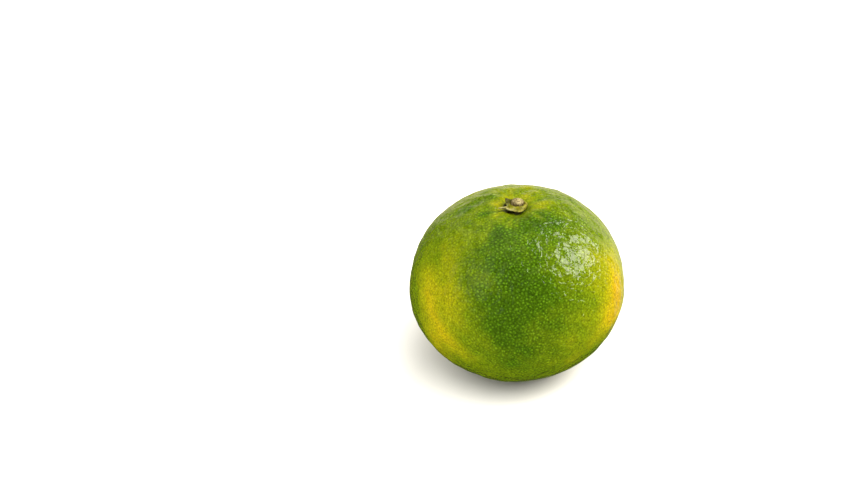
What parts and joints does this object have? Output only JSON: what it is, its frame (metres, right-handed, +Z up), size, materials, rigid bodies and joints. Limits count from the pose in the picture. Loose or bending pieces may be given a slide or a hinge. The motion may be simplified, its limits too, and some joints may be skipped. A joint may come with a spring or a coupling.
{
  "type": "tangerine",
  "caption": "Whole tangerine, a slightly flattened round fruit with green peel turning yellow, a shallow basin at the top, a dried star-shaped calyx and a short cut stem.",
  "frame": {"origin": "centre of the footprint, on the surface that the fruit stands on", "axes": "+Z up along the stem; -Y is the side that faces the camera in the picture; +X to its right"},
  "size_m": [0.0664, 0.0665, 0.0586],
  "materials": {
    "peel": "satin",
    "dried_calyx": "matte",
    "cut_stem": "matte"
  },
  "bodies": {
    "root": {"fruit": "peel", "calyx": "dried_calyx", "stem_stub": "cut_stem"}
  },
  "joints": []
}
